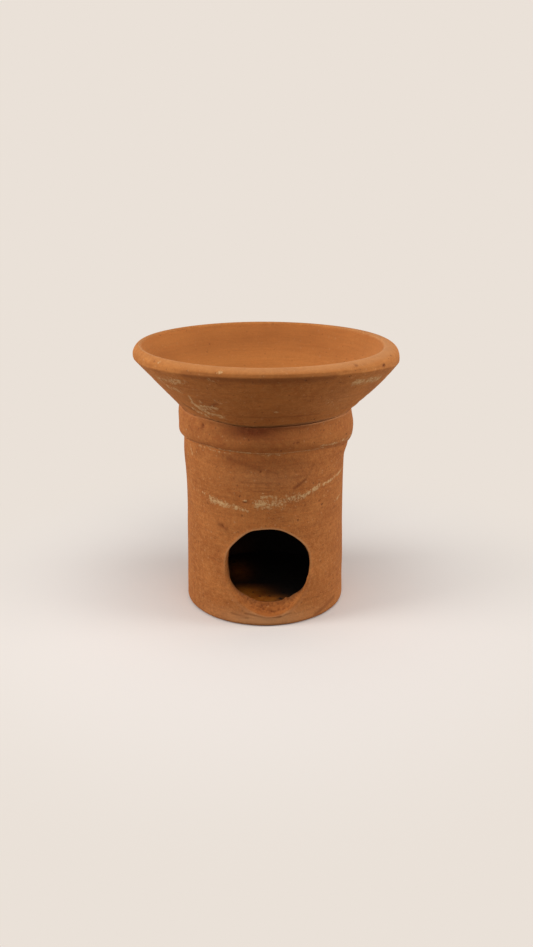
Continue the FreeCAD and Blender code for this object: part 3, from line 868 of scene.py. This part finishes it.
# finger ribs in the bowl, one spiral from its floor to its wall
ribs = 0.10 * np.sin(radius * 2 * np.pi / 5.5 + all_angles)
uneven = ribs + lumps(all_angles, radius, 61, 0.05, 14.0)
height = height + in_bowl * uneven * np.clip(radius / RIB_FREE, 0, 1)
free = np.clip((height - COLLAR_LIP) / 10, 0, 1)
height = height - free * RIM_DROP * (radius / RIM_R) * (1 + np.sin(all_angles))
RIM_PITS = (  # (degrees, height, half widths of both, depth)
    (51.7, 144.2, 0.8, 0.7, -0.5), (35.6, 147, 0.6, 0.5, -0.3), (120, 146, 0.9, 0.8, -0.5),
    (-130, 145.5, 0.8, 0.8, -0.45),
)
outside = (row_number < bowl_from)[None, :] * np.ones_like(radius)
radius = radius + outside * swellings(all_angles, height, RIM_PITS)
points = place(all_angles, height, radius, 0.0)
dish = smooth_mesh("dish_thrown", points.reshape(-1, 3), ring_faces(DISH_COLUMNS, rows, False))
DISH_LIME = (  # scuffs on the cone's left and right
    (-43.2, 129, -44.4, 124.5, 1.1, 1), (-44.4, 124.5, -42, 121, 1.8, 1),
    (-42, 122, -35, 123.8, 2.6, 0.92), (-40, 119.8, -28.4, 117.6, 1.8, 0.94),
    (-34.4, 124, -30.2, 123.4, 1.9, 0.88), (-28.6, 129, -25, 127.6, 1.2, 0.8),
    (-49, 120, -41, 117, 2, 0.84), (-38, 127, -33, 121, 1.2, 0.84),
    (-58, 136, -40, 139, 3.2, 0.78), (-55, 132.5, -47, 131.5, 2.4, 0.72),
    (-25.2, 142, -24, 141.6, 1.6, 0.74), (38, 138, 56, 136, 2.8, 0.84),
    (1.6, 123.2, 3.6, 123, 0.8, 0.9), (28, 128, 40, 122, 3, 0.5),
    (150, 130, 170, 124, 2, 0.6), (-110, 128, -100, 136, 1.5, 0.5),
)
DISH_DARK = (  # darker in the pits, smears, and painted shade under the rim at the front
    (51.2, 144.2, 52.4, 144.2, 0.8, 1), (35.4, 147, 35.8, 147, 0.5, 0.8),
    (-22, 139.5, -16, 140.5, 0.7, 0.4), (-34, 124, -28, 127, 0.9, 0.5),
    (-57, 121.5, -50, 119, 0.9, 0.5), (-20, 119.4, 30, 119.6, 0.5, 0.35),
    (-36, 143.4, 24, 143, 2.4, 0.5),
)
# two flecks of lime on the rim, left of the front
RIM_FLECKS = ((-51.0, 146.6, -50.6, 147.2, 0.9, 1.6), (-20.6, 146.0, -20.0, 146.4, 1.1, 1.28))
dish_lime = daubs(all_angles, height, CONE_MIDDLE_R, DISH_LIME)
dish_lime = np.maximum(dish_lime, daubs(all_angles, height, RIM_R, RIM_FLECKS))
paint(dish, "lime", (dish_lime * outside).reshape(-1))
BOWL_PAINTED_SHADE = (  # (degrees, distance from the axis, half widths of both, strength): painted shade in the bowl under its lip, at the left and back
    (-100, 62, 32, 6, 0.32), (178, 62, 60, 5, 0.42), (130, 56, 26, 6, 0.16),
)
CONE_CLOUDS = ((-36.0, 126.0, 16.0, 12.0, 0.16), (0.0, 122.0, 26.0, 8.0, 0.08))
bowl_dark = swellings(all_angles, radius, BOWL_PAINTED_SHADE) * inner_skin
bowl_dark = bowl_dark + 0.03 * inner_skin * lumps(all_angles, radius, 62, 1.0, 24.0)
cone_dark = daubs(all_angles, height, RIM_R, DISH_DARK) + swellings(all_angles, height, CONE_CLOUDS)
paint(dish, "dark", (cone_dark * outside + bowl_dark).reshape(-1))
# painted highlights: the crest is paler towards the right, and so is its inner edge along the front and the left
crest_light = 0.45 * spread(height, RIM_TOP - 0.6, 1.3) * (radius > CREST_FROM) * (1 - inner_skin)
crest_light = crest_light * np.clip(0.35 + 0.65 * np.cos(all_angles - np.radians(35.0)), 0, 1)
inner_edge_light = spread(row_number, bowl_from - 5.5, 2.6) * np.clip(0.6 + 0.6 * np.cos(all_angles), 0, 1)
left_edge_light = spread(row_number, bowl_from - 6.5, 1.3) * spread(all_degrees, -60.0, 30.0)
# painted light on the cone's right side and on the bowl's right side
cone_light = swellings(all_angles, height, ((36.0, 127.0, 16.0, 10.0, 0.16),)) * outside
bowl_light = swellings(all_angles, radius, ((70.0, 50.0, 44.0, 14.0, 0.26),)) * inner_skin
# painted light along the seam, where the cone turns into the collar, lightening the shade there
seam = COLLAR_LIP + np.array([ring_swellings(angle, LIP_SPOTS) for angle in around])[:, None]
seam_light = (0.4 + 0.6 * spread(all_degrees, 34.0, 30.0)) * spread(height, seam + 0.1, 0.7) * outside
rubbed_and_painted_light = crest_light + 0.5 * (inner_edge_light + left_edge_light) + cone_light + seam_light + bowl_light
paint(dish, "rubbed_and_painted_light", rubbed_and_painted_light.reshape(-1))
rim_wiped = 0.25 * np.clip((height - RIM_TOP + 6.0) / 2.0, 0, 1) * outside  # with a wet hand, before it dried
paint(dish, "smoothed", np.maximum(inner_skin * (0.8 - 0.2 * np.sin(all_angles)), rim_wiped).reshape(-1))
paint(dish, "soot_and_painted_shade", np.zeros(radius.size))
dish_clay = fired_clay("earthenware_dish_thrown", "#ae672d", "#bb7235", "#cb8648", grit=0.6, smooth="#cb8240")
dish.data.materials.append(dish_clay)
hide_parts("dish")
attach(dish, "dish")

# ---------------------------------------------------------------------------------------------------
# The studio: a pale table top that runs on into a pale background, a large soft lamp above and a soft lamp
# on each side, the left one a little stronger.

BACKGROUND = "#eae1d8"
TABLE_R, TABLE_SIDES = 3.0, 64  # metres, and straight edges round it
FADE_FROM, FADE_TO = 0.07, 0.24  # metres from the axis, where the table turns into plain background


def looked_at(tree):
    """1 where the camera looks, straight or by way of a gloss or glass, and 0 for light that fills the room."""
    path = add(tree, "ShaderNodeLightPath").outputs
    either = add(tree, "ShaderNodeMath", {"operation": "MAXIMUM", 0: path["Is Camera Ray"], 1: path["Is Glossy Ray"]})
    return add(tree, "ShaderNodeMath", {"operation": "MAXIMUM", 0: either, 1: path["Is Transmission Ray"]})


mesh = bpy.data.meshes.new("table_top")
turns = np.linspace(0, 2 * np.pi, TABLE_SIDES, endpoint=False)
mesh.from_pydata([(TABLE_R * np.cos(a), TABLE_R * np.sin(a), 0.0) for a in turns], [], [tuple(range(TABLE_SIDES))])
table = bpy.data.objects.new("table_top", mesh)
bpy.context.scene.collection.objects.link(table)
table_finish = bpy.data.materials.new("matt_painted_board")
tree = bare_tree(table_finish)
spot = add(tree, "ShaderNodeTexCoord").outputs["Object"]
far = add(tree, "ShaderNodeVectorMath", {"operation": "LENGTH", 0: spot})
limits = {"From Min": FADE_FROM, "From Max": FADE_TO, "interpolation_type": "SMOOTHSTEP"}
fade = add(tree, "ShaderNodeMapRange", {**limits, 0: far})
board = add(tree, "ShaderNodeBsdfDiffuse", {"Color": linear("#f5eee8")})
plain = add(tree, "ShaderNodeEmission", {"Color": linear(BACKGROUND), "Strength": 1.0})
seen = add(tree, "ShaderNodeMixShader", {0: fade, 1: board, 2: plain})
dim = add(tree, "ShaderNodeBsdfDiffuse", {"Color": linear("#948a80")})
choice = add(tree, "ShaderNodeMixShader", {0: looked_at(tree), 1: dim, 2: seen})
add(tree, "ShaderNodeOutputMaterial", {"Surface": choice})
mesh.materials.append(table_finish)

AMBIENT = 0.38  # the light that comes from all round
world = bpy.data.worlds.new("studio")
bpy.context.scene.world = world
tree = bare_tree(world)
room = add(tree, "ShaderNodeBackground", {"Color": linear("#ffffff"), "Strength": AMBIENT})
backdrop = add(tree, "ShaderNodeBackground", {"Color": linear(BACKGROUND), "Strength": 1.0})
choice = add(tree, "ShaderNodeMixShader", {0: looked_at(tree), 1: room, 2: backdrop})
add(tree, "ShaderNodeOutputWorld", {"Surface": choice})

LAMPS = (  # name, azimuth from the front, elevation, distance and size in metres, level at the object
    ("lamp_above", 14.0, 68.0, 0.75, 0.55, 0.31),
    ("lamp_left", -78.0, 22.0, 0.80, 0.45, 0.54),
    ("lamp_right", 81.0, 16.0, 0.80, 0.45, 0.42),
)
AIM = Vector((0.0, 0.0, 0.08))
for name, azimuth, elevation, distance, size, level in LAMPS:
    lamp = bpy.data.lights.new(name, "AREA")
    lamp.shape = "DISK"
    lamp.size = size
    lamp.energy = level * (np.pi * distance) ** 2  # a white face square to it then shows this level
    holder = bpy.data.objects.new(name, lamp)
    a, e = np.radians(azimuth), np.radians(elevation)
    away = Vector((np.sin(a) * np.cos(e), -np.cos(a) * np.cos(e), np.sin(e)))
    holder.location = AIM + away * distance
    holder.rotation_euler = away.to_track_quat("Z", "Y").to_euler()
    bpy.context.scene.collection.objects.link(holder)

# The camera looks down on the object from the front, a little from its left
CAMERA_BACK, CAMERA_UP = 493.6, 239.3  # from the axis and above the table
CAMERA_RIGHT = -0.29  # across its own direction
CAMERA_AZIMUTH = -2.3  # degrees, to the left of the window's own direction
CAMERA_DOWN = 18.615  # degrees below level
LENS, SENSOR = 34.88, 36.0  # the lens's length, and the long side of what it casts its image on

eye = bpy.data.cameras.new("camera")
eye.lens = LENS
eye.sensor_width = SENSOR
camera = bpy.data.objects.new("camera", eye)
a = np.radians(CAMERA_AZIMUTH)
right = Vector((np.cos(a), np.sin(a), 0.0))
front = Vector((np.sin(a), -np.cos(a), 0.0))
camera.location = (front * CAMERA_BACK + right * CAMERA_RIGHT + Vector((0.0, 0.0, CAMERA_UP))) * MM
camera.rotation_euler = (np.radians(90.0 - CAMERA_DOWN), 0.0, a)
bpy.context.scene.collection.objects.link(camera)
bpy.context.scene.camera = camera

bpy.context.scene.view_settings.view_transform = "Standard"
